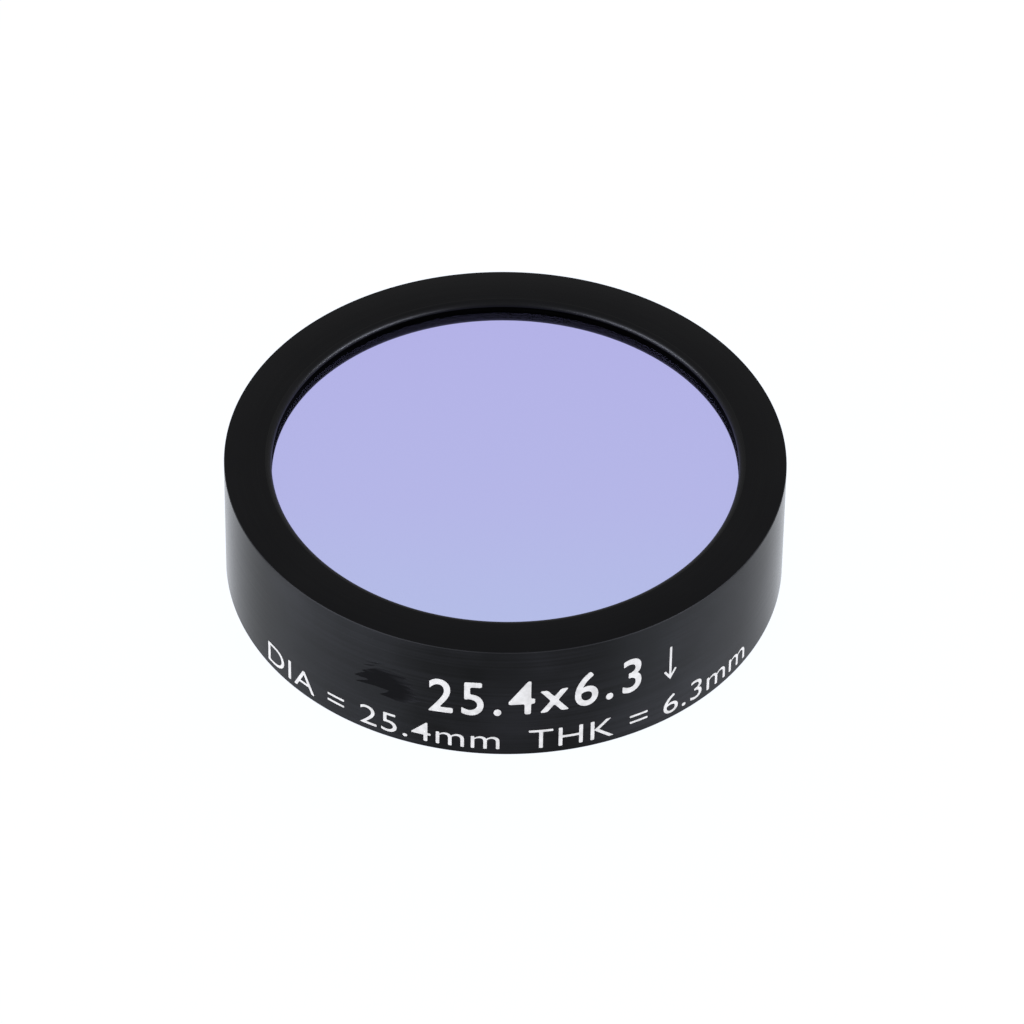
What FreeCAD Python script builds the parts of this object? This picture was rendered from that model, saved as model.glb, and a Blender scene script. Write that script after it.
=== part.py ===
"""Mounted bandpass filter, 25.4 mm across: a turned aluminium ring that holds a cemented stack of glass.

All lengths are in millimetres.  The origin is the centre of the rear face.  +Z runs along the
optical axis and comes out of the coated face, which is the one that light enters.  -Y is the
side of the ring that carries the marks.
"""
import FreeCAD
import Part
import math
import os

# The turned ring
OUTER_DIAMETER = 25.4       # one inch, slides into a one inch holder
RING_WALL = 1.1             # wall between the bore and the outside
SEAT_LEDGE = 1.05           # how far the front lip reaches in over the glass
LIP_THICKNESS = 0.65        # front face down to the seat that the glass bears on
OUTER_CHAMFER = 0.05        # broken edges of both outer corners
APERTURE_ROUNDING = 0.3     # radius of the rounded edge of the front opening
ROUNDING_FLATS = 2          # flats that the rounding is drawn with, to keep the facets few
MOUTH_CHAMFER = 0.15        # lead-in at the rear of the bore
RELIEF_DEPTH = 0.1          # tool relief in the corner of the seat, into the wall
RELIEF_WIDTH = 0.2          # the same relief, along the axis

# The retaining ring, pressed into the bore behind the glass, size for size
RETAINER_WIDTH = 1.05
RETAINER_THICKNESS = 0.8
RETAINER_LEAD = 0.1         # bevel on the edge that enters the bore first
RETAINER_BEVEL = 0.25       # bevel round the rear opening
REAR_SETBACK = 0.14         # the retaining ring lies this far inside the rear face

# The glass stack, from the coated face to the rear
GLASS_CLEARANCE = 0.15      # all round, taken up by the edge seal
PLATE_BEVEL = 0.1           # ground bevel on both edges of each plate
ENTRANCE_PLATE = 1.0
BANDPASS_PLATE = 1.0
BLOCKING_PLATE = 1.0
ABSORBING_PLATE = 1.5
COATING_THICKNESS = 0.02    # drawn thicker than the real layers, which are a few micrometres
COATING_SETBACK = 0.45      # the two inner coatings stop short of the plate's flat, for a sound bond
BOND_THICKNESS = 0.05       # optical cement between two plates

# What follows from the sizes above
OUTER_RADIUS = OUTER_DIAMETER / 2
BORE_RADIUS = OUTER_RADIUS - RING_WALL
APERTURE_RADIUS = BORE_RADIUS - SEAT_LEDGE
PLATE_RADIUS = BORE_RADIUS - GLASS_CLEARANCE
FLAT_RADIUS = PLATE_RADIUS - PLATE_BEVEL
INNER_COATING_RADIUS = FLAT_RADIUS - COATING_SETBACK
COATED_BOND = BOND_THICKNESS + COATING_THICKNESS

# Each level is the front of the piece it names, counted up from the rear face
RETAINER_FRONT = REAR_SETBACK + RETAINER_THICKNESS
ABSORBING_FRONT = RETAINER_FRONT + ABSORBING_PLATE
REAR_BOND_FRONT = ABSORBING_FRONT + BOND_THICKNESS
BLOCKING_FRONT = REAR_BOND_FRONT + BLOCKING_PLATE
MIDDLE_BOND_FRONT = BLOCKING_FRONT + COATED_BOND
BANDPASS_FRONT = MIDDLE_BOND_FRONT + BANDPASS_PLATE
FRONT_BOND_FRONT = BANDPASS_FRONT + COATED_BOND
ENTRANCE_FRONT = FRONT_BOND_FRONT + ENTRANCE_PLATE
SEAT = ENTRANCE_FRONT + COATING_THICKNESS
RING_HEIGHT = SEAT + LIP_THICKNESS
PLATE_LEVELS = [
    (RETAINER_FRONT, ABSORBING_FRONT),
    (REAR_BOND_FRONT, BLOCKING_FRONT),
    (MIDDLE_BOND_FRONT, BANDPASS_FRONT),
    (FRONT_BOND_FRONT, ENTRANCE_FRONT),
]


def turned(profile):
    """A solid turned about the optical axis from a closed outline of (radius, height) points."""
    corners = [FreeCAD.Vector(radius, 0, height) for radius, height in profile]
    outline = Part.makePolygon(corners + corners[:1])
    return Part.Face(outline).revolve(FreeCAD.Vector(0, 0, 0), FreeCAD.Vector(0, 0, 1), 360)


def disc(radius, bottom, top):
    """A plain round layer."""
    return turned([(0, bottom), (radius, bottom), (radius, top), (0, top)])


def plate_edge(bottom, top):
    """The ground edge of a plate, from its lower flat to its upper flat."""
    return [
        (FLAT_RADIUS, bottom),
        (PLATE_RADIUS, bottom + PLATE_BEVEL),
        (PLATE_RADIUS, top - PLATE_BEVEL),
        (FLAT_RADIUS, top),
    ]


def glass_plate(bottom, top):
    """A round plate of polished glass with a ground, bevelled edge."""
    return turned([(0, bottom)] + plate_edge(bottom, top) + [(0, top)])


def bond_over_coating(bottom, top):
    """Cement between two plates, with the coating of the lower plate let into its underside."""
    pocket_top = bottom + COATING_THICKNESS
    return turned([
        (0, pocket_top),
        (INNER_COATING_RADIUS, pocket_top),
        (INNER_COATING_RADIUS, bottom),
        (FLAT_RADIUS, bottom),
        (FLAT_RADIUS, top),
        (0, top),
    ])


def opening_edge():
    """The rounded edge of the front opening, as a few flats that stay within 0.03 mm of the round."""
    turns = [math.radians(90 * step / ROUNDING_FLATS) for step in range(ROUNDING_FLATS + 1)]
    return [
        (APERTURE_RADIUS + APERTURE_ROUNDING * (1 - math.sin(turn)),
         RING_HEIGHT - APERTURE_ROUNDING * (1 - math.cos(turn)))
        for turn in turns
    ]


def filter_ring():
    """The housing, turned from bar: rounded front lip, seat, relieved corner, bore and rear lead-in."""
    return turned([
        (BORE_RADIUS + MOUTH_CHAMFER, 0),
        (OUTER_RADIUS - OUTER_CHAMFER, 0),
        (OUTER_RADIUS, OUTER_CHAMFER),
        (OUTER_RADIUS, RING_HEIGHT - OUTER_CHAMFER),
        (OUTER_RADIUS - OUTER_CHAMFER, RING_HEIGHT),
    ] + opening_edge() + [
        (APERTURE_RADIUS, SEAT),
        (BORE_RADIUS + RELIEF_DEPTH, SEAT),
        (BORE_RADIUS + RELIEF_DEPTH, SEAT - RELIEF_WIDTH),
        (BORE_RADIUS, SEAT - RELIEF_WIDTH),
        (BORE_RADIUS, MOUTH_CHAMFER),
    ])


def retaining_ring():
    """A plain ring pressed into the bore until it bears on the last plate."""
    inside = BORE_RADIUS - RETAINER_WIDTH
    return turned([
        (inside + RETAINER_BEVEL, REAR_SETBACK),
        (BORE_RADIUS, REAR_SETBACK),
        (BORE_RADIUS, RETAINER_FRONT - RETAINER_LEAD),
        (BORE_RADIUS - RETAINER_LEAD, RETAINER_FRONT),
        (inside, RETAINER_FRONT),
        (inside, REAR_SETBACK + RETAINER_BEVEL),
    ])


def edge_seal():
    """Potting that fills the gap round the stack and follows the bevels of every plate."""
    inner_side = []
    for bottom, top in PLATE_LEVELS:
        inner_side += plate_edge(bottom, top)
    outer_side = [(FLAT_RADIUS, SEAT), (BORE_RADIUS, SEAT), (BORE_RADIUS, RETAINER_FRONT)]
    return turned(inner_side + outer_side)


pieces = {
    "filter_ring": filter_ring(),
    "retaining_ring": retaining_ring(),
    "edge_seal": edge_seal(),
    "reflector_coating": disc(FLAT_RADIUS, ENTRANCE_FRONT, SEAT),
    "entrance_plate": glass_plate(FRONT_BOND_FRONT, ENTRANCE_FRONT),
    "front_cement": bond_over_coating(BANDPASS_FRONT, FRONT_BOND_FRONT),
    "bandpass_coating": disc(INNER_COATING_RADIUS, BANDPASS_FRONT, BANDPASS_FRONT + COATING_THICKNESS),
    "bandpass_plate": glass_plate(MIDDLE_BOND_FRONT, BANDPASS_FRONT),
    "middle_cement": bond_over_coating(BLOCKING_FRONT, MIDDLE_BOND_FRONT),
    "blocking_coating": disc(INNER_COATING_RADIUS, BLOCKING_FRONT, BLOCKING_FRONT + COATING_THICKNESS),
    "blocking_plate": glass_plate(REAR_BOND_FRONT, BLOCKING_FRONT),
    "rear_cement": disc(FLAT_RADIUS, ABSORBING_FRONT, REAR_BOND_FRONT),
    "absorbing_plate": glass_plate(RETAINER_FRONT, ABSORBING_FRONT),
}

os.makedirs("parts", exist_ok=True)
for name, shape in pieces.items():
    shape.exportStep("parts/" + name + ".step")
    print(name, "volume", round(shape.Volume, 3), "mm3")
print("ring height", round(RING_HEIGHT, 3), "mm, clear aperture", round(2 * APERTURE_RADIUS, 3), "mm")
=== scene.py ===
import math

import bmesh
import bpy
from mathutils import Matrix, Vector


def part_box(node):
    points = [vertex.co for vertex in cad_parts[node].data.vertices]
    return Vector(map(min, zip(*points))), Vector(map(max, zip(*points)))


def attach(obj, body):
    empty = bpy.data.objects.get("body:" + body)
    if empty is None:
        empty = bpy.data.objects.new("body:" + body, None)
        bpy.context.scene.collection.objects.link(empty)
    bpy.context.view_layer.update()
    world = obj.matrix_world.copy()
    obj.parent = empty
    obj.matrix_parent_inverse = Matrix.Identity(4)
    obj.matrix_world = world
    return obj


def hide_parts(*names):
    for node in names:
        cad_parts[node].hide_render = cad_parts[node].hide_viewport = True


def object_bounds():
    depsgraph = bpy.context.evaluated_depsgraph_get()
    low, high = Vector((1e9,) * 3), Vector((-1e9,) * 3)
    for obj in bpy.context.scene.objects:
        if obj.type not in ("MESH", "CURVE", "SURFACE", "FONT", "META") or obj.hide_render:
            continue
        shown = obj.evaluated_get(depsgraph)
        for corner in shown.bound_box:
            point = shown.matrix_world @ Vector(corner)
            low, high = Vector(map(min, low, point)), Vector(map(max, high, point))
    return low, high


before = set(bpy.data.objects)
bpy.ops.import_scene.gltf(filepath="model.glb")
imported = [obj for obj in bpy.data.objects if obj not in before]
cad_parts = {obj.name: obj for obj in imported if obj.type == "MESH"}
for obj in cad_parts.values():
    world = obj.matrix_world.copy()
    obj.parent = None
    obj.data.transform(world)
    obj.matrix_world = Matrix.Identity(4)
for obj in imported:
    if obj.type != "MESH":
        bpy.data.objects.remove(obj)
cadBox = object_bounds()

mm = 0.001
fullTurn = 2 * math.pi
turnSteps = 320  # sides of every turned face, fine enough to stay round in close views
roundSteps = 12  # faces across a wide rounding
sharpAngle = math.radians(32)  # more than one step of a rounding, less than any real corner
mergeWithin = 0.0001  # mm, points nearer than this are one point


def linearColour(hexText):
    # sRGB hex to the linear colour that the shaders want
    parts = [int(hexText[i:i + 2], 16) / 255 for i in (1, 3, 5)]
    return [p / 12.92 if p <= 0.04045 else ((p + 0.055) / 1.055) ** 2.4 for p in parts] + [1.0]


def addNode(tree, kind, settings={}, values={}, links={}, stops=()):
    # one node with its settings, input values and links, and a ramp's (place, hex) stops
    node = tree.nodes.new(kind)
    for name, value in settings.items():
        setattr(node, name, value)
    for name, value in values.items():
        node.inputs[name].default_value = value
    for name, source in links.items():
        tree.links.new(source, node.inputs[name])
    for number, (place, hexText) in enumerate(stops):
        elements = node.color_ramp.elements
        if number == 0:
            element = elements[0]
        elif number == len(stops) - 1:
            element = elements[-1]
        else:
            element = elements.new(place)
        element.position = place
        element.color = linearColour(hexText)
    return node


def newMaterial(name, shaderValues):
    material = bpy.data.materials.new(name)
    material.use_nodes = True
    shader = material.node_tree.nodes["Principled BSDF"]
    for socket, value in shaderValues.items():
        shader.inputs[socket].default_value = value
    return material, material.node_tree, shader


def newObject(name, shape, materials, finishOf=None):
    # a finished bmesh becomes an object at the origin, smooth across a curve, sharp at a corner
    # and with even shading over its wide faces
    mesh = bpy.data.meshes.new(name)
    for face in shape.faces:
        face.smooth = True
        if finishOf:
            face.material_index = finishOf(face)
    shape.to_mesh(mesh)
    shape.free()
    mesh.set_sharp_from_angle(angle=sharpAngle)
    for material in materials:
        mesh.materials.append(material)
    piece = bpy.data.objects.new(name, mesh)
    bpy.context.scene.collection.objects.link(piece)
    weighing = piece.modifiers.new("wideFacesLead", "WEIGHTED_NORMAL")
    weighing.keep_sharp = True
    ready = piece.evaluated_get(bpy.context.evaluated_depsgraph_get())
    piece.data = bpy.data.meshes.new_from_object(ready)
    piece.modifiers.clear()
    bpy.data.meshes.remove(mesh)
    piece.data.name = name
    return piece


# Camera at the photograph's view. Its focal length and distance come from a fit to the ring's
# outlines.
cameraSettings = {
    "distance": 323.5,      # mm from the middle of the ring
    "elevation": 43.05,     # degrees above the table
    "roll": 0.795,          # degrees, the photograph leans a little
    "aimRight": 0.332,      # mm, the ring sits a little left of the picture's middle
    "aimUp": -0.189,        # mm
    "focalPixels": 7120.5,  # in a picture 1024 pixels wide
    "pictureWidth": 1024,
    "sensorWidth": 36.0,    # mm
    "clipStart": 10.0,      # mm
    "clipEnd": 10000.0,     # mm
}


def makeCamera(settings):
    lowest, highest = cadBox
    middle = (lowest + highest) / 2
    tilt = math.radians(settings["elevation"])
    towards = Vector((0, math.cos(tilt), -math.sin(tilt)))
    rightWay = Vector((1, 0, 0))
    upWay = rightWay.cross(towards)
    place = middle - towards * settings["distance"] * mm
    target = middle + (rightWay * settings["aimRight"] + upWay * settings["aimUp"]) * mm
    look = (target - place).to_track_quat("-Z", "Y").to_matrix().to_4x4()
    data = bpy.data.cameras.new("photoCamera")
    data.sensor_width = settings["sensorWidth"]
    data.lens = settings["focalPixels"] * settings["sensorWidth"] / settings["pictureWidth"]
    data.clip_start = settings["clipStart"] * mm
    data.clip_end = settings["clipEnd"] * mm
    camera = bpy.data.objects.new("photoCamera", data)
    roll = Matrix.Rotation(math.radians(settings["roll"]), 4, "Z")
    camera.matrix_world = Matrix.Translation(place) @ look @ roll
    bpy.context.scene.collection.objects.link(camera)
    bpy.context.scene.camera = camera


# A floor lit from below, an even dome, and two low strips that give the ring's sides their
# highlights
studioSettings = {
    "floorHalf": 400.0,       # mm
    "floorDrop": 0.01,        # mm below the rear face, so that the two planes never coincide
    "floorColour": "#303030",
    "floorTint": "#F4F8FF",
    "floorGlow": 1.05,        # light that comes up through the floor, as on a light table
    "floorGloss": 0.6,
    "floorSpecular": 0.2,
    "domeColour": "#FFFFFF",
    "domeStrength": 0.9,
    "boxDistance": 420.0,     # mm
    "stripBoxes": [
        # name, degrees round from the front (right is +), degrees up, width and height in mm, watts
        ("rightStrip", 64, 3, 390, 34, 4.9),
        ("leftStrip", -63, 3, 460, 34, 5.6),
    ],
    "stripTint": "#F2F6FF",
}


def makeStudio(settings):
    scene = bpy.context.scene
    scene.view_settings.view_transform = "Standard"
    scene.view_settings.look = "None"
    world = bpy.data.worlds.new("softDome")
    world.use_nodes = True
    background = world.node_tree.nodes["Background"]
    background.inputs["Color"].default_value = linearColour(settings["domeColour"])
    background.inputs["Strength"].default_value = settings["domeStrength"]
    scene.world = world

    for name, heading, climb, width, height, power in settings["stripBoxes"]:
        data = bpy.data.lights.new(name, "AREA")
        data.shape = "RECTANGLE"
        data.size = width * mm
        data.size_y = height * mm
        data.energy = power
        data.color = linearColour(settings["stripTint"])[:3]
        light = bpy.data.objects.new(name, data)
        around, up = math.radians(heading), math.radians(climb)
        away = Vector((math.sin(around) * math.cos(up), -math.cos(around) * math.cos(up),
                       math.sin(up)))
        turn = (-away).to_track_quat("-Z", "Y").to_matrix().to_4x4()
        light.matrix_world = Matrix.Translation(away * settings["boxDistance"] * mm) @ turn
        light.visible_camera = False
        scene.collection.objects.link(light)

    table = newMaterial("whiteLightTable", {
        "Base Color": linearColour(settings["floorColour"]),
        "Emission Color": linearColour(settings["floorTint"]),
        "Emission Strength": settings["floorGlow"],
        "Roughness": settings["floorGloss"],
        "Specular IOR Level": settings["floorSpecular"],
    })[0]
    shape = bmesh.new()
    bmesh.ops.create_grid(shape, x_segments=1, y_segments=1, size=settings["floorHalf"] * mm)
    bmesh.ops.translate(shape, verts=shape.verts, vec=(0, 0, -settings["floorDrop"] * mm))
    floor = newObject("floor", shape, [table])


makeCamera(cameraSettings)
makeStudio(studioSettings)
print("camera and studio ready")


# Sizes that the solids give, in mm
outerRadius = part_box("filter_ring")[1].x / mm
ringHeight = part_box("filter_ring")[1].z / mm
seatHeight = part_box("reflector_coating")[1].z / mm
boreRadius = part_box("retaining_ring")[1].x / mm


def innerRadius(node):
    # the smallest radius in a turned solid
    return min(math.hypot(v.co.x, v.co.y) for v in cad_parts[node].data.vertices) / mm


def turnedShape(corners, softening, softSteps, roundCorners={}):
    # turns an outline of (radius, height) corners in mm. Every corner is a little rounded, and the
    # numbered ones in roundCorners have a radius of their own.
    shape = bmesh.new()
    outline = [shape.verts.new((radius * mm, 0, height * mm)) for radius, height in corners]
    shape.faces.new(outline)
    onAxis = [v for v in outline if v.co.x == 0]
    wide = [(outline[number], size) for number, size in roundCorners.items()]
    soft = [v for v in outline if v.co.x > 0 and v not in [corner for corner, size in wide]]
    for corner, size in wide:
        bmesh.ops.bevel(shape, geom=[corner], offset=size * mm, offset_type="OFFSET",
                        segments=roundSteps, profile=0.5, affect="VERTICES", material=-1)
    bmesh.ops.bevel(shape, geom=soft, offset=softening * mm, offset_type="OFFSET",
                    segments=softSteps, profile=0.5, affect="VERTICES", material=-1)
    bmesh.ops.delete(shape, geom=shape.faces[:], context="FACES_ONLY")
    if onAxis:
        axisEdges = [e for e in shape.edges if all(v.co.x == 0 for v in e.verts)]
        bmesh.ops.delete(shape, geom=axisEdges, context="EDGES")
    bmesh.ops.spin(shape, geom=shape.verts[:] + shape.edges[:], cent=(0, 0, 0), axis=(0, 0, 1),
                   angle=fullTurn, steps=turnSteps, use_merge=True)
    bmesh.ops.remove_doubles(shape, verts=shape.verts[:], dist=mergeWithin * mm)
    bmesh.ops.recalc_face_normals(shape, faces=shape.faces[:])
    return shape


# Turned aluminium, black anodised: a dark satin skin that only turns bright at a glancing angle.
# These values hold for each of its finishes that doesn't give its own.
plainFinish = {
    "sealed": {},
    "anisotropy": 0.0,
    "grainSize": 0.05,      # mm, the etched grain of the oxide
    "grainDepth": 0.0003,   # mm
}
# The side is left as turned, so its fine grooves draw each light out into a band along the axis.
# A thin sealed skin lies over the grooves, and mirrors at a glancing angle.
sideFinish = {
    **plainFinish,
    "darkColour": "#000000",
    "lightColour": "#0B0B0D",
    "specular": 0.055,      # the dyed grooves send back far less than clear glass does
    "sealed": {"Coat Weight": 1.0, "Coat IOR": 1.13, "Coat Roughness": 0.18},
    "sheenTint": "#EEF3FF",
    "glossLow": 0.42,
    "glossHigh": 0.5,
    "anisotropy": 0.9,
    # mm between turning marks; the real ones are finer, and these are drawn so that they show
    "turningPitch": 0.11,
    "turningDepth": 0.0012,  # mm
}
# The faces were skimmed finer, and look even
faceFinish = {
    **plainFinish,
    "darkColour": "#080809",
    "lightColour": "#0B0B0C",
    "specular": 0.06,
    "sheenTint": "#F4F6FF",
    "glossLow": 0.2,
    "glossHigh": 0.25,
    "turningPitch": 0.09,
    "turningDepth": 0.0003,
}
# The edges were broken last, by hand, and are a little rougher. Their lighter colour is a painted
# highlight: with their real reflection it draws the thin bright line along the edges.
edgeFinishPaintedHighlight = {
    **plainFinish,
    # lighter than the faces: a painted highlight along the broken edges
    "darkColour": "#111112",
    "lightColour": "#171718",
    "specular": 0.05,
    "sheenTint": "#F6F7FF",
    "glossLow": 0.45,
    "glossHigh": 0.52,
    "turningPitch": 0.06,
    "turningDepth": 0.0004,
}
# The opening's rounding was cut with a form tool, which leaves it a little rougher than the faces
roundingFinish = {
    **plainFinish,
    "darkColour": "#020202",
    "lightColour": "#040405",
    "specular": 0.11,
    "sheenTint": "#F6F7FF",
    "glossLow": 0.37,
    "glossHigh": 0.42,
    "turningPitch": 0.06,
    "turningDepth": 0.0003,
}
# Inside, the oxide is left matt so that it takes up stray light
insideFinish = {
    **plainFinish,
    "darkColour": "#000000",
    "lightColour": "#020202",
    "specular": 0.005,
    "sheenTint": "#FFFFFF",
    "glossLow": 0.6,
    "glossHigh": 0.7,
    "turningPitch": 0.12,
    "turningDepth": 0.0008,
    "grainSize": 0.06,
}
# How the turning marks and the dye are drawn, the same on every finish
anodisePattern = {
    "marksDetail": 3.0,
    "marksRoughness": 0.6,
    "patchSize": 4.0,       # mm, how far apart the paler patches of the dye lie
    "cloudDetail": 2.0,     # of the patches and of the grain
    "darkBelow": 0.18,      # marks times patches, where the dye is at its darkest and its lightest
    "lightAbove": 0.38,
    "glossFrom": 0.3,       # the marks' values that the lowest and the highest gloss belong to
    "glossTo": 0.7,
    "highlightTurn": 0.25,  # a quarter turn, so that highlights run across the grooves
}


def anodisedAluminium(name, settings, pattern=anodisePattern):
    material, tree, shader = newMaterial(name, {
        "Specular IOR Level": settings["specular"],
        "Specular Tint": linearColour(settings["sheenTint"]),
        "Anisotropic": settings["anisotropy"],
        "Anisotropic Rotation": pattern["highlightTurn"],
        **settings["sealed"],
    })
    place = addNode(tree, "ShaderNodeTexCoord").outputs["Object"]
    axes = addNode(tree, "ShaderNodeSeparateXYZ", links={0: place}).outputs
    flatPlace = addNode(tree, "ShaderNodeVectorMath", {"operation": "MULTIPLY"},
                        {1: (1, 1, 0)}, {0: place})
    radius = addNode(tree, "ShaderNodeVectorMath", {"operation": "LENGTH"},
                     links={0: flatPlace.outputs[0]})
    heading = addNode(tree, "ShaderNodeVectorMath", {"operation": "NORMALIZE"},
                      links={0: flatPlace.outputs[0]})
    groove = addNode(tree, "ShaderNodeVectorMath", {"operation": "CROSS_PRODUCT"},
                     {0: (0, 0, 1)}, {1: heading.outputs[0]})

    # turning marks: noise that is long round the ring and short across the tool's path
    across = addNode(tree, "ShaderNodeMath", {"operation": "ADD"},
                     links={0: radius.outputs["Value"], 1: axes["Z"]})
    fine = addNode(tree, "ShaderNodeMath", {"operation": "MULTIPLY"},
                   {1: 1 / (settings["turningPitch"] * mm)}, {0: across.outputs[0]})
    marks = addNode(tree, "ShaderNodeTexNoise", {"noise_dimensions": "4D"},
                    {"Scale": 1.0, "Detail": pattern["marksDetail"],
                     "Roughness": pattern["marksRoughness"]},
                    {"Vector": heading.outputs[0], "W": fine.outputs[0]})
    patches = addNode(tree, "ShaderNodeTexNoise", {"noise_dimensions": "3D"},
                      {"Scale": 1 / (pattern["patchSize"] * mm), "Detail": pattern["cloudDetail"]},
                      {"Vector": place})
    streaks = addNode(tree, "ShaderNodeMath", {"operation": "MULTIPLY"},
                      links={0: marks.outputs["Fac"], 1: patches.outputs["Fac"]})
    tint = addNode(tree, "ShaderNodeValToRGB", links={"Fac": streaks.outputs[0]},
                   stops=[(pattern["darkBelow"], settings["darkColour"]),
                          (pattern["lightAbove"], settings["lightColour"])])
    grain = addNode(tree, "ShaderNodeTexNoise", {"noise_dimensions": "3D"},
                    {"Scale": 1 / (settings["grainSize"] * mm), "Detail": pattern["cloudDetail"]},
                    {"Vector": place})

    turned = addNode(tree, "ShaderNodeBump", {},
                     {"Strength": 1.0, "Distance": settings["turningDepth"] * mm},
                     {"Height": marks.outputs["Fac"]})
    etched = addNode(tree, "ShaderNodeBump", {},
                     {"Strength": 1.0, "Distance": settings["grainDepth"] * mm},
                     {"Height": grain.outputs["Fac"], "Normal": turned.outputs["Normal"]})
    gloss = addNode(tree, "ShaderNodeMapRange", {},
                    {"From Min": pattern["glossFrom"], "From Max": pattern["glossTo"],
                     "To Min": settings["glossLow"], "To Max": settings["glossHigh"]},
                    {"Value": marks.outputs["Fac"]})
    tree.links.new(tint.outputs["Color"], shader.inputs["Base Color"])
    tree.links.new(gloss.outputs["Result"], shader.inputs["Roughness"])
    tree.links.new(etched.outputs["Normal"], shader.inputs["Normal"])
    tree.links.new(groove.outputs[0], shader.inputs["Tangent"])
    return material


ringSettings = {
    "edgeAcross": 0.025,     # mm, the broken outer edges, steeper than 45 degrees
    "edgeDown": 0.055,
    "openingRounding": 0.3,
    "mouthChamfer": 0.15,
    "reliefDepth": 0.1,
    "reliefWidth": 0.2,
    "softening": 0.012,      # what the anodising and a deburring pass leave of each sharp corner
    "softSteps": 3,
}


def makeRing(settings):
    opening = innerRadius("filter_ring")
    across, down = settings["edgeAcross"], settings["edgeDown"]
    rounding, mouth = settings["openingRounding"], settings["mouthChamfer"]
    relief = boreRadius + settings["reliefDepth"]
    reliefHeight = seatHeight - settings["reliefWidth"]
    soft = settings["softening"]
    shape = turnedShape([
        (boreRadius + mouth, 0),
        (outerRadius - across, 0),
        (outerRadius, down),
        (outerRadius, ringHeight - down),
        (outerRadius - across, ringHeight),
        (opening, ringHeight),
        (opening, seatHeight),
        (relief, seatHeight),
        (relief, reliefHeight),
        (boreRadius, reliefHeight),
        (boreRadius, mouth),
    ], soft, settings["softSteps"], {5: rounding})

    finishes = [
        anodisedAluminium("skimmedBlackAnodise", faceFinish),
        anodisedAluminium("turnedBlackAnodise", sideFinish),
        # the broken edges' lighter colour is a painted highlight
        anodisedAluminium("edgeBlackAnodisePaintedHighlight", edgeFinishPaintedHighlight),
        anodisedAluminium("roundedBlackAnodise", roundingFinish),
        anodisedAluminium("mattBlackAnodise", insideFinish),
    ]
    face, side, broken, rounded, inside = range(len(finishes))

    def finishOf(patch):
        middle = patch.calc_center_median()
        radius, height = math.hypot(middle.x, middle.y) / mm, middle.z / mm
        if radius > outerRadius - across:
            return side if down < height < ringHeight - down else broken
        if height > ringHeight - rounding and radius < opening + rounding:
            return rounded
        return face if min(height, ringHeight - height) < soft else inside

    ring = newObject("turnedRing", shape, finishes, finishOf)
    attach(ring, "root")
    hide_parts("filter_ring")


makeRing(ringSettings)
print("ring ready")


retainerSettings = {
    "leadBevel": 0.1,        # mm
    "rearBevel": 0.25,
    "softening": 0.015,
    "softSteps": 3,
    "finish": {
        **plainFinish,
        "darkColour": "#050506",
        "lightColour": "#09090A",
        "specular": 0.12,
        "sheenTint": "#F4F6FF",
        "glossLow": 0.36,
        "glossHigh": 0.44,
        "turningPitch": 0.1,
        "turningDepth": 0.0008,
        "grainDepth": 0.0005,
    },
}


def makeRetainer(settings):
    lowest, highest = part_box("retaining_ring")
    inside, rear, front = innerRadius("retaining_ring"), lowest.z / mm, highest.z / mm
    lead, bevel = settings["leadBevel"], settings["rearBevel"]
    shape = turnedShape([
        (inside + bevel, rear),
        (boreRadius, rear),
        (boreRadius, front - lead),
        (boreRadius - lead, front),
        (inside, front),
        (inside, rear + bevel),
    ], settings["softening"], settings["softSteps"])
    finish = anodisedAluminium("retainerBlackAnodise", settings["finish"])
    retainer = newObject("retainerRing", shape, [finish])
    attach(retainer, "root")
    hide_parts("retaining_ring")


makeRetainer(retainerSettings)
print("retaining ring ready")


coatingSettings = {
    # the drift from bluer at the front to purpler at the back is a painted reflection shift across
    # the disc
    "tints": [
        # share of the way from the front (-Y) to the back, and colour
        (0.08, "#BDC5F2"),
        (0.4, "#BDBFF2"),
        (1.0, "#BCBAF2"),
    ],
    "gloss": 0.03,
    "metal": 0.972,          # the rest is haze, which lifts the darkness under the lip
    "softening": 0.003,      # mm
    "softSteps": 1,
}


def dielectricMirror(settings):
    # Evaporated dielectric film on polished glass: a metal-like mirror, tinted lavender
    material, tree, shader = newMaterial("dielectricMirrorFilm", {
        "Metallic": settings["metal"],
        "Roughness": settings["gloss"],
    })
    place = addNode(tree, "ShaderNodeTexCoord").outputs["Object"]
    axes = addNode(tree, "ShaderNodeSeparateXYZ", links={0: place}).outputs
    # painted reflection: the tint drifts from front to back, bluer at the front
    along = addNode(tree, "ShaderNodeMapRange", {},
                    {"From Min": -boreRadius * mm, "From Max": boreRadius * mm},
                    {"Value": axes["Y"]})
    tint = addNode(tree, "ShaderNodeValToRGB", links={"Fac": along.outputs["Result"]},
                   stops=settings["tints"])
    tree.links.new(tint.outputs["Color"], shader.inputs["Base Color"])
    return material


def makeCoating(settings):
    lowest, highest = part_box("reflector_coating")
    radius, under, over = highest.x / mm, lowest.z / mm, highest.z / mm
    shape = turnedShape([(0, under), (radius, under), (radius, over), (0, over)],
                        settings["softening"], settings["softSteps"])
    film = newObject("mirrorCoating", shape, [dielectricMirror(settings)])
    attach(film, "root")
    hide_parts("reflector_coating")


makeCoating(coatingSettings)
print("coating ready")


windowSettings = {
    "edgeBevel": 0.1,        # mm
    "softening": 0.02,
    "softSteps": 2,
    "ior": 1.54,
    "colour": "#0B0406",
    "gloss": 0.02,
    "groundColour": "#1B1819",  # of the bevels, which are ground and not polished
    "groundGloss": 0.5,
}


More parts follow.
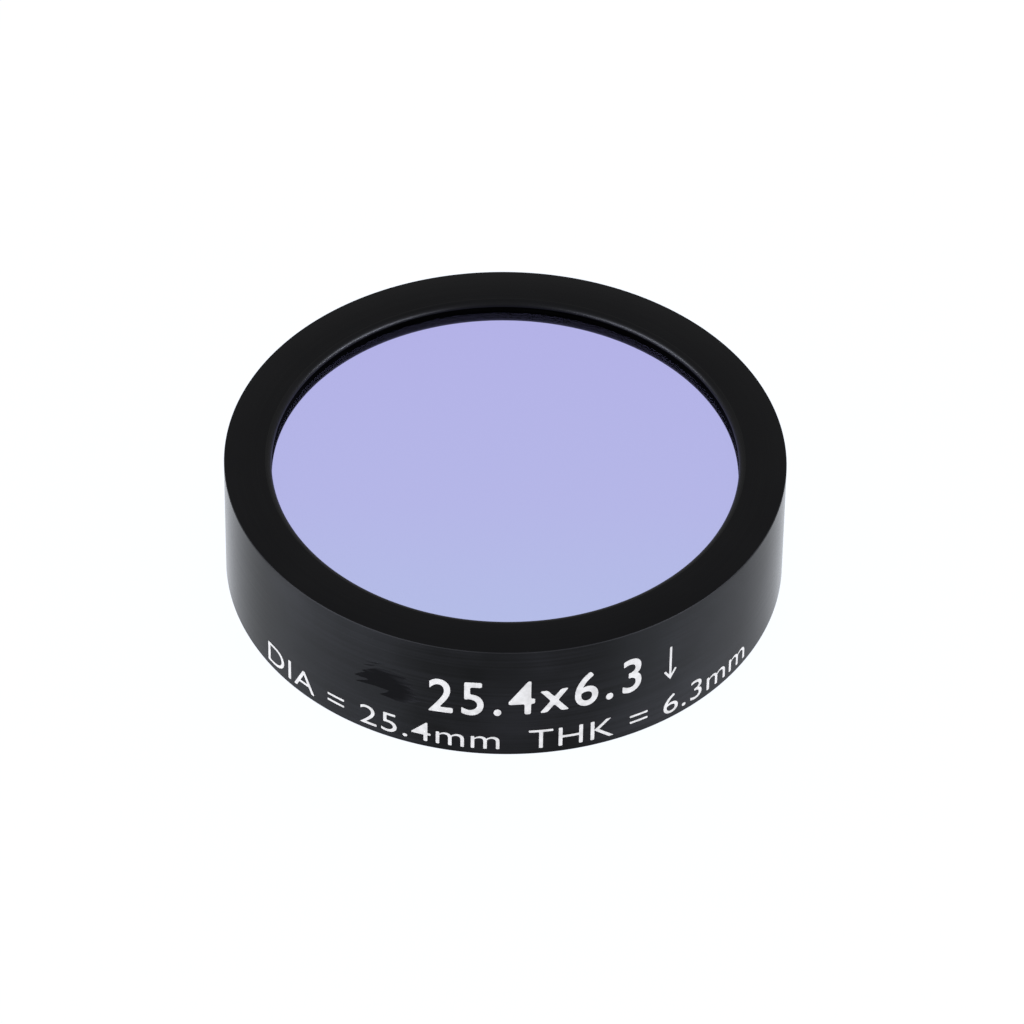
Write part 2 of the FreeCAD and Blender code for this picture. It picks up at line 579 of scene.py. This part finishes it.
def absorbingGlass(settings):
    # Deep coloured filter glass: polished, so it mirrors clearly, and nearly black in any thickness
    material, tree, shader = newMaterial("absorbingFilterGlass", {"IOR": settings["ior"]})
    place = addNode(tree, "ShaderNodeTexCoord").outputs["Object"]
    flatPlace = addNode(tree, "ShaderNodeVectorMath", {"operation": "MULTIPLY"},
                        {1: (1, 1, 0)}, {0: place})
    radius = addNode(tree, "ShaderNodeVectorMath", {"operation": "LENGTH"},
                     links={0: flatPlace.outputs[0]})
    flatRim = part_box("absorbing_plate")[1].x - settings["edgeBevel"] * mm
    ground = addNode(tree, "ShaderNodeMath", {"operation": "GREATER_THAN"},
                     {1: flatRim}, {0: radius.outputs["Value"]})
    gloss = addNode(tree, "ShaderNodeMapRange", {},
                    {"To Min": settings["gloss"], "To Max": settings["groundGloss"]},
                    {"Value": ground.outputs[0]})
    tint = addNode(tree, "ShaderNodeValToRGB", links={"Fac": ground.outputs[0]},
                   stops=[(0.0, settings["colour"]), (1.0, settings["groundColour"])])
    tree.links.new(gloss.outputs["Result"], shader.inputs["Roughness"])
    tree.links.new(tint.outputs["Color"], shader.inputs["Base Color"])
    return material


def makeWindow(settings):
    lowest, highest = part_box("absorbing_plate")
    radius, under, over = highest.x / mm, lowest.z / mm, highest.z / mm
    flat, bevel = radius - settings["edgeBevel"], settings["edgeBevel"]
    shape = turnedShape([
        (0, under),
        (flat, under),
        (radius, under + bevel),
        (radius, over - bevel),
        (flat, over),
        (0, over),
    ], settings["softening"], settings["softSteps"])
    window = newObject("rearWindow", shape, [absorbingGlass(settings)])
    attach(window, "root")
    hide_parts("absorbing_plate")


makeWindow(windowSettings)
print("rear window ready")


# White marks on the edge. They give this part's own plain sizes, and which way light goes
# through it.
inkSettings = {
    "thin": "#82807E",
    "full": "#908E8C",
    "patchSize": 0.35,       # mm, how far apart thick and thin ink lie
    "patchDetail": 3.0,
    "thinBelow": 0.3,        # the pattern's values at which the ink is thin and full
    "fullAbove": 0.6,
    "gloss": 0.55,
    "specular": 0.3,
}


def markingInk(settings):
    # Baked marking ink: a chalky off-white with hardly any shine, a little greyer where it is thin
    material, tree, shader = newMaterial("bakedMarkingInk", {
        "Roughness": settings["gloss"],
        "Specular IOR Level": settings["specular"],
    })
    place = addNode(tree, "ShaderNodeTexCoord").outputs["Object"]
    patches = addNode(tree, "ShaderNodeTexNoise", {"noise_dimensions": "3D"},
                      {"Scale": 1 / (settings["patchSize"] * mm),
                       "Detail": settings["patchDetail"]},
                      {"Vector": place})
    tint = addNode(tree, "ShaderNodeValToRGB", links={"Fac": patches.outputs["Fac"]},
                   stops=[(settings["thinBelow"], settings["thin"]),
                          (settings["fullAbove"], settings["full"])])
    tree.links.new(tint.outputs["Color"], shader.inputs["Base Color"])
    return material


# Each mark is made flat and then wrapped round the edge. Lengths are in mm. The arc is counted from
# the front, right is +, and the foot from the rear face. Rise is how much a line climbs per mm.
markSettings = {
    "thickness": 0.03,       # of the ink, most of it let into the ring
    "proud": 0.012,
    "curveSteps": 6,
    "weldWithin": 0.00001,   # in the font's own units
    "cornerBelow": math.radians(130),  # a stroke's end turns more sharply than this
    "cornerRoom": 0.45,      # how much of the outline's next run a rounding may take
    "cornerSteps": 3,
    "lines": [
        {
            "piece": "sizeMark",
            "words": "25.4x6.3",
            "strokeGain": 0.009,
            "spacing": 1.18,
            "width": 9.7,
            "height": 2.05,
            "arcMiddle": 1.56,
            "foot": 2.5,
            "rise": 0.042,
            "rounding": 0.09,        # of the strokes' corners
            "clogged": (0.35, 0.55),  # shares of the width between which ink fills the counters
        },
        {
            "piece": "diameterMark",
            "words": "DIA = 25.4mm",
            "strokeGain": -0.005,
            "spacing": 1.05,
            "width": 12.3,
            "height": 1.15,
            "arcMiddle": -6.25,
            "foot": 0.34,
            "rise": 0.0,
            "rounding": 0.04,
            "clogged": (0.6, 0.77),
        },
        {
            "piece": "thicknessMark",
            "words": "THK = 6.3mm",
            "strokeGain": -0.005,
            "spacing": 1.05,
            "width": 11.8,
            "height": 1.15,
            "arcMiddle": 7.1,
            "foot": 0.34,
            "rise": 0.0,
            "rounding": 0.04,
            "clogged": (1.0, 1.0),    # none
        },
    ],
    "arrow": {
        "piece": "lightArrow",
        "length": 1.88,
        "stroke": 0.115,
        "barbAcross": 0.3,
        "barbUp": 0.46,
        "arcMiddle": 7.95,
        "foot": 2.6,
        "rise": 0.0,
        "rounding": 0.03,
    },
}
wrapSettings = {
    "cutEvery": 0.25,        # mm, so that a flat letter bends with the ring
    "sliver": 0.001,         # mm, a cut that comes this near a corner goes through it
}


def wrapRound(shape, mark, proud, settings):
    # bends a flat shape in mm round the ring: x becomes the arc, y the height and z the way out
    left, right = (pick(v.co.x for v in shape.verts) for pick in (min, max))
    cuts = int((right - left) / settings["cutEvery"])
    for number in range(1, cuts):
        where = left + (right - left) * number / cuts
        bmesh.ops.bisect_plane(shape, geom=shape.verts[:] + shape.edges[:] + shape.faces[:],
                               dist=settings["sliver"], plane_co=(where, 0, 0), plane_no=(1, 0, 0))
    for v in shape.verts:
        around = (mark["arcMiddle"] + v.co.x) / outerRadius
        radius = outerRadius + proud + v.co.z
        height = mark["foot"] + v.co.y + v.co.x * mark["rise"]
        v.co = (radius * math.sin(around), -radius * math.cos(around), height)
    shape.normal_update()
    # still in mm, because in metres the faces are too small to be turned the right way
    bmesh.ops.recalc_face_normals(shape, faces=shape.faces[:])
    bmesh.ops.scale(shape, verts=shape.verts[:], vec=(mm, mm, mm))


def thicken(shape, thickness):
    # a flat shape at z 0 becomes a closed plate that reaches down from it
    raised = bmesh.ops.extrude_face_region(shape, geom=shape.faces[:])
    lower = [v for v in raised["geom"] if isinstance(v, bmesh.types.BMVert)]
    bmesh.ops.translate(shape, verts=lower, vec=(0, 0, -thickness))


def rimLoops(shape):
    # the closed rims of a flat shape, each as a list of edges, in the same order each run
    remaining = dict.fromkeys(e for e in shape.edges if e.is_boundary)
    loops = []
    while remaining:
        loop = [remaining.popitem()[0]]
        for edge in loop:
            for v in edge.verts:
                for fresh in v.link_edges:
                    if fresh in remaining:
                        del remaining[fresh]
                        loop.append(fresh)
        loops.append(loop)
    return loops


def keepOutlines(shape, lowest, highest):
    # leaves each rim as one face of its own. Between two places along the line ink has run across
    # the counters of the letters, so those are left out.
    reach = []
    for loop in rimLoops(shape):
        across = [v.co.x for e in loop for v in e.verts]
        reach.append((min(across), max(across), loop))
    kept = []
    for left, right, loop in reach:
        around = [(low, high) for low, high, other in reach if low < left and right < high]
        if not any(lowest < low and high < highest for low, high in around):
            kept.append(loop)
    outlines = {e for loop in kept for e in loop}
    bmesh.ops.delete(shape, geom=[e for e in shape.edges if e not in outlines], context="EDGES")
    for loop in kept:
        bmesh.ops.edgeloop_fill(shape, edges=loop)


def roundCornersOf(shape, rounding, settings):
    # rounds the sharp corners of flat outlines, less where the next corner is near
    corners = []
    for v in shape.verts:
        first, second = [(e.other_vert(v).co - v.co).to_2d() for e in v.link_edges]
        if first.angle(second) < settings["cornerBelow"]:
            room = min(first.length, second.length) * settings["cornerRoom"]
            corners.append((v, min(rounding, room)))
    for corner, size in corners:
        bmesh.ops.bevel(shape, geom=[corner], offset=size, offset_type="OFFSET",
                        segments=settings["cornerSteps"], profile=0.5, affect="VERTICES",
                        material=-1)


def flatWords(line, settings):
    # lettering in the built-in plain font, as a closed flat plate in mm with its foot at y 0 and
    # its top at z 0
    lettering = bpy.data.curves.new("lettering", "FONT")
    lettering.body = line["words"]
    lettering.offset = line["strokeGain"]
    lettering.space_character = line["spacing"]
    lettering.resolution_u = settings["curveSteps"]
    holder = bpy.data.objects.new("lettering", lettering)
    bpy.context.scene.collection.objects.link(holder)
    ready = holder.evaluated_get(bpy.context.evaluated_depsgraph_get())
    mesh = bpy.data.meshes.new_from_object(ready)
    shape = bmesh.new()
    shape.from_mesh(mesh)
    bpy.data.objects.remove(holder)
    bpy.data.curves.remove(lettering)
    bpy.data.meshes.remove(mesh)

    width, height = line["width"], line["height"]
    bmesh.ops.remove_doubles(shape, verts=shape.verts[:], dist=settings["weldWithin"])
    left, right = (pick(v.co.x for v in shape.verts) for pick in (min, max))
    bottom, top = (pick(v.co.y for v in shape.verts) for pick in (min, max))
    bmesh.ops.translate(shape, verts=shape.verts, vec=(-(left + right) / 2, -bottom, 0))
    fitting = (width / (right - left), height / (top - bottom), 1)
    bmesh.ops.scale(shape, verts=shape.verts, vec=fitting)
    lowest, highest = [(share - 0.5) * width for share in line["clogged"]]
    keepOutlines(shape, lowest, highest)
    roundCornersOf(shape, line["rounding"], settings)
    bmesh.ops.delete(shape, geom=shape.faces[:], context="FACES_ONLY")
    bmesh.ops.triangle_fill(shape, use_beauty=True, edges=shape.edges[:], normal=(0, 0, 1))
    thicken(shape, settings["thickness"])
    return shape


def flatArrow(arrow, settings):
    # points down, away from the coated face, as one outline with its tip at the origin
    half = arrow["stroke"] / 2
    end = Vector((arrow["barbAcross"], arrow["barbUp"]))
    way = end.normalized()
    out = Vector((way.y, -way.x)) * half
    lower, upper = end + out, end - out
    armpit = upper - way * ((upper.x - half) / way.x)
    tip = lower - way * (lower.x / way.x)
    right = [Vector((half, arrow["length"])), armpit, upper, lower]
    left = [Vector((-p.x, p.y)) for p in reversed(right)]
    shape = bmesh.new()
    outline = [shape.verts.new((p.x, p.y, 0)) for p in right + [tip] + left]
    shape.faces.new(outline)
    bmesh.ops.bevel(shape, geom=outline, offset=arrow["rounding"], offset_type="OFFSET",
                    segments=settings["cornerSteps"], profile=0.5, affect="VERTICES", material=-1)
    thicken(shape, settings["thickness"])
    return shape


def makeMarks(settings):
    ink = markingInk(inkSettings)
    marks = [(line, flatWords(line, settings)) for line in settings["lines"]]
    marks.append((settings["arrow"], flatArrow(settings["arrow"], settings)))
    for mark, shape in marks:
        wrapRound(shape, mark, settings["proud"], wrapSettings)
        piece = newObject(mark["piece"], shape, [ink])
        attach(piece, "root")


makeMarks(markSettings)
print("marks ready")


# A patch of black touch-up left of the bold mark, put on with a few strokes along the edge
touchUpSettings = {
    "wetColour": "#050506",
    "dryColour": "#141416",  # where the brush ran dry, and the oxide shows through
    "wetBelow": 0.28,        # distance from the middle times the brush's traces
    "dryAbove": 0.62,
    "middle": (-5.4, 3.1),   # mm from the axis and above the rear face, where it is thickest
    "reach": (1.8, 1.3),     # mm from there to the dry ends
    "specular": 0.03,
    "glossLow": 0.8,
    "glossHigh": 0.9,
    "tracePitch": 0.12,      # mm between the brush's traces
    "traceStretch": 0.1,     # they run along the edge, ten times as long as they are wide
    "traceDetail": 2.0,
    "thickness": 0.03,       # mm, nearly all of it let into the ring
    "proud": 0.003,
    "rounding": 0.015,
    "cornerSteps": 2,
    "arcMiddle": -5.3,       # mm round from the front
    "foot": 0.0,
    "rise": 0.0,
    "strokes": [
        # mm along the arc and above the rear face, once round each patch from its left tip
        [
            (-6.92, 3.10), (-6.56, 3.39), (-6.34, 3.52), (-6.52, 3.56), (-6.10, 3.83),
            (-5.89, 3.95), (-5.55, 4.07), (-5.11, 4.09), (-4.68, 4.02), (-4.25, 3.90),
            (-4.52, 3.78), (-3.98, 3.56), (-4.36, 3.47), (-3.84, 3.22), (-4.22, 3.16),
            (-3.66, 2.97), (-4.12, 2.90), (-3.62, 2.72), (-4.06, 2.55), (-4.44, 2.40),
            (-4.82, 2.40), (-5.21, 2.46), (-5.64, 2.49), (-5.31, 2.70), (-5.13, 2.88),
            (-5.45, 2.89), (-5.85, 2.90), (-6.25, 2.85), (-6.56, 2.80), (-6.88, 2.75),
            (-6.51, 2.94), (-6.18, 3.10), (-6.30, 3.16), (-6.56, 3.12),
        ],
        [(-6.30, 4.19), (-5.85, 4.34), (-5.35, 4.42), (-5.80, 4.28)],
        [(-6.46, 3.94), (-6.12, 4.08), (-5.72, 4.21), (-6.05, 4.03)],
        [(-5.05, 4.28), (-4.60, 4.31), (-4.10, 4.25), (-4.60, 4.25)],
    ],
}


def blackTouchUp(settings):
    # Brushed-on matt black lacquer: dead flat beside the satin oxide, thin and streaky at its ends
    material, tree, shader = newMaterial("brushedTouchUpLacquer", {
        "Specular IOR Level": settings["specular"],
    })
    place = addNode(tree, "ShaderNodeTexCoord").outputs["Object"]
    across, up = settings["middle"]
    reachAcross, reachUp = settings["reach"]
    stretch = settings["traceStretch"]
    fromMiddle = addNode(tree, "ShaderNodeVectorMath", {"operation": "SUBTRACT"},
                         {1: (across * mm, 0, up * mm)}, {0: place})
    shares = addNode(tree, "ShaderNodeVectorMath", {"operation": "MULTIPLY"},
                     {1: (1 / (reachAcross * mm), 0, 1 / (reachUp * mm))},
                     {0: fromMiddle.outputs[0]})
    outward = addNode(tree, "ShaderNodeVectorMath", {"operation": "LENGTH"},
                      links={0: shares.outputs[0]})
    stretched = addNode(tree, "ShaderNodeVectorMath", {"operation": "MULTIPLY"},
                        {1: (stretch, stretch, 1)}, {0: place})
    traces = addNode(tree, "ShaderNodeTexNoise", {"noise_dimensions": "3D"},
                     {"Scale": 1 / (settings["tracePitch"] * mm),
                      "Detail": settings["traceDetail"]},
                     {"Vector": stretched.outputs[0]})
    dryness = addNode(tree, "ShaderNodeMath", {"operation": "MULTIPLY"},
                      links={0: outward.outputs["Value"], 1: traces.outputs["Fac"]})
    tint = addNode(tree, "ShaderNodeValToRGB", links={"Fac": dryness.outputs[0]},
                   stops=[(settings["wetBelow"], settings["wetColour"]),
                          (settings["dryAbove"], settings["dryColour"])])
    gloss = addNode(tree, "ShaderNodeMapRange", {},
                    {"To Min": settings["glossLow"], "To Max": settings["glossHigh"]},
                    {"Value": traces.outputs["Fac"]})
    tree.links.new(tint.outputs["Color"], shader.inputs["Base Color"])
    tree.links.new(gloss.outputs["Result"], shader.inputs["Roughness"])
    return material


def makeTouchUp(settings):
    shape = bmesh.new()
    for stroke in settings["strokes"]:
        outline = [shape.verts.new((arc - settings["arcMiddle"], height, 0))
                   for arc, height in stroke]
        shape.faces.new(outline)
    bmesh.ops.bevel(shape, geom=shape.verts[:], offset=settings["rounding"], offset_type="OFFSET",
                    segments=settings["cornerSteps"], profile=0.5, affect="VERTICES", material=-1)
    bmesh.ops.triangulate(shape, faces=shape.faces[:])
    thicken(shape, settings["thickness"])
    wrapRound(shape, settings, settings["proud"], wrapSettings)
    patch = newObject("touchUp", shape, [blackTouchUp(settings)])
    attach(patch, "root")


makeTouchUp(touchUpSettings)
print("touch-up ready")


# The solids that stay are sealed inside, and still get the finish that they would show on a bench.
# Pattern sizes are in mm.
innerSettings = {
    "glass": {
        "ior": 1.52,
        "tints": [(0.0, "#F0F8F3"), (1.0, "#F6FBF7")],
        "hazeSize": 3.33,
        "hazeDetail": 2.0,
        "glossLow": 0.01,
        "glossHigh": 0.03,
    },
    "cement": {
        "ior": 1.56,
        "tints": [(0.0, "#F6F2E2"), (1.0, "#FAF8EC")],
        "cloudSize": 6.67,
        "cloudDetail": 2.0,
        "gloss": 0.05,
    },
    "films": {
        "metal": 0.9,
        "tints": [(0.35, "#A9C4A8"), (0.65, "#C9ADB8")],
        "driftSize": 25.0,
        "driftDetail": 1.0,
        "gloss": 0.05,
    },
    "epoxy": {
        "colour": "#0C0C0D",
        "pitSize": 0.15,
        "pitDepth": 0.005,
        "pitStrength": 0.4,
        "pitDetail": 2.0,
        "glossLow": 0.25,
        "glossHigh": 0.45,
    },
}


def clearGlass(settings):
    # Crown glass plate: clear, with a breath of green through its thickness
    material, tree, shader = newMaterial("clearCrownGlass", {
        "Transmission Weight": 1.0,
        "IOR": settings["ior"],
    })
    place = addNode(tree, "ShaderNodeTexCoord").outputs["Object"]
    haze = addNode(tree, "ShaderNodeTexNoise", {},
                   {"Scale": 1 / (settings["hazeSize"] * mm), "Detail": settings["hazeDetail"]},
                   {"Vector": place})
    gloss = addNode(tree, "ShaderNodeMapRange", {},
                    {"To Min": settings["glossLow"], "To Max": settings["glossHigh"]},
                    {"Value": haze.outputs["Fac"]})
    tint = addNode(tree, "ShaderNodeValToRGB", links={"Fac": haze.outputs["Fac"]},
                   stops=settings["tints"])
    tree.links.new(gloss.outputs["Result"], shader.inputs["Roughness"])
    tree.links.new(tint.outputs["Color"], shader.inputs["Base Color"])
    return material


def opticalCement(settings):
    # Cured optical cement: clear and faintly straw-coloured
    material, tree, shader = newMaterial("opticalCement", {
        "Transmission Weight": 1.0,
        "IOR": settings["ior"],
        "Roughness": settings["gloss"],
    })
    place = addNode(tree, "ShaderNodeTexCoord").outputs["Object"]
    clouds = addNode(tree, "ShaderNodeTexNoise", {},
                     {"Scale": 1 / (settings["cloudSize"] * mm), "Detail": settings["cloudDetail"]},
                     {"Vector": place})
    tint = addNode(tree, "ShaderNodeValToRGB", links={"Fac": clouds.outputs["Fac"]},
                   stops=settings["tints"])
    tree.links.new(tint.outputs["Color"], shader.inputs["Base Color"])
    return material


def thinFilmStack(settings):
    # Evaporated interference layers: a near mirror whose colour drifts from green to rose
    material, tree, shader = newMaterial("interferenceLayers", {
        "Metallic": settings["metal"],
        "Roughness": settings["gloss"],
    })
    place = addNode(tree, "ShaderNodeTexCoord").outputs["Object"]
    drift = addNode(tree, "ShaderNodeTexNoise", {},
                    {"Scale": 1 / (settings["driftSize"] * mm), "Detail": settings["driftDetail"]},
                    {"Vector": place})
    tint = addNode(tree, "ShaderNodeValToRGB", links={"Fac": drift.outputs["Fac"]},
                   stops=settings["tints"])
    tree.links.new(tint.outputs["Color"], shader.inputs["Base Color"])
    return material


def pottingEpoxy(settings):
    # Filled black epoxy: smooth where it met the mould, with a soft shine and small pits
    material, tree, shader = newMaterial("blackPottingEpoxy", {
        "Base Color": linearColour(settings["colour"]),
    })
    place = addNode(tree, "ShaderNodeTexCoord").outputs["Object"]
    pits = addNode(tree, "ShaderNodeTexNoise", {},
                   {"Scale": 1 / (settings["pitSize"] * mm), "Detail": settings["pitDetail"]},
                   {"Vector": place})
    dimple = addNode(tree, "ShaderNodeBump", {},
                     {"Strength": settings["pitStrength"], "Distance": settings["pitDepth"] * mm},
                     {"Height": pits.outputs["Fac"]})
    gloss = addNode(tree, "ShaderNodeMapRange", {},
                    {"To Min": settings["glossLow"], "To Max": settings["glossHigh"]},
                    {"Value": pits.outputs["Fac"]})
    tree.links.new(gloss.outputs["Result"], shader.inputs["Roughness"])
    tree.links.new(dimple.outputs["Normal"], shader.inputs["Normal"])
    return material


def dressSolids(settings):
    glass = clearGlass(settings["glass"])
    cement = opticalCement(settings["cement"])
    films = thinFilmStack(settings["films"])
    epoxy = pottingEpoxy(settings["epoxy"])
    finishes = {
        "entrance_plate": glass,
        "bandpass_plate": glass,
        "blocking_plate": glass,
        "front_cement": cement,
        "middle_cement": cement,
        "rear_cement": cement,
        "bandpass_coating": films,
        "blocking_coating": films,
        "edge_seal": epoxy,
    }
    for node, material in finishes.items():
        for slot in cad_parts[node].material_slots:
            slot.material = material


dressSolids(innerSettings)
print("inner solids dressed")
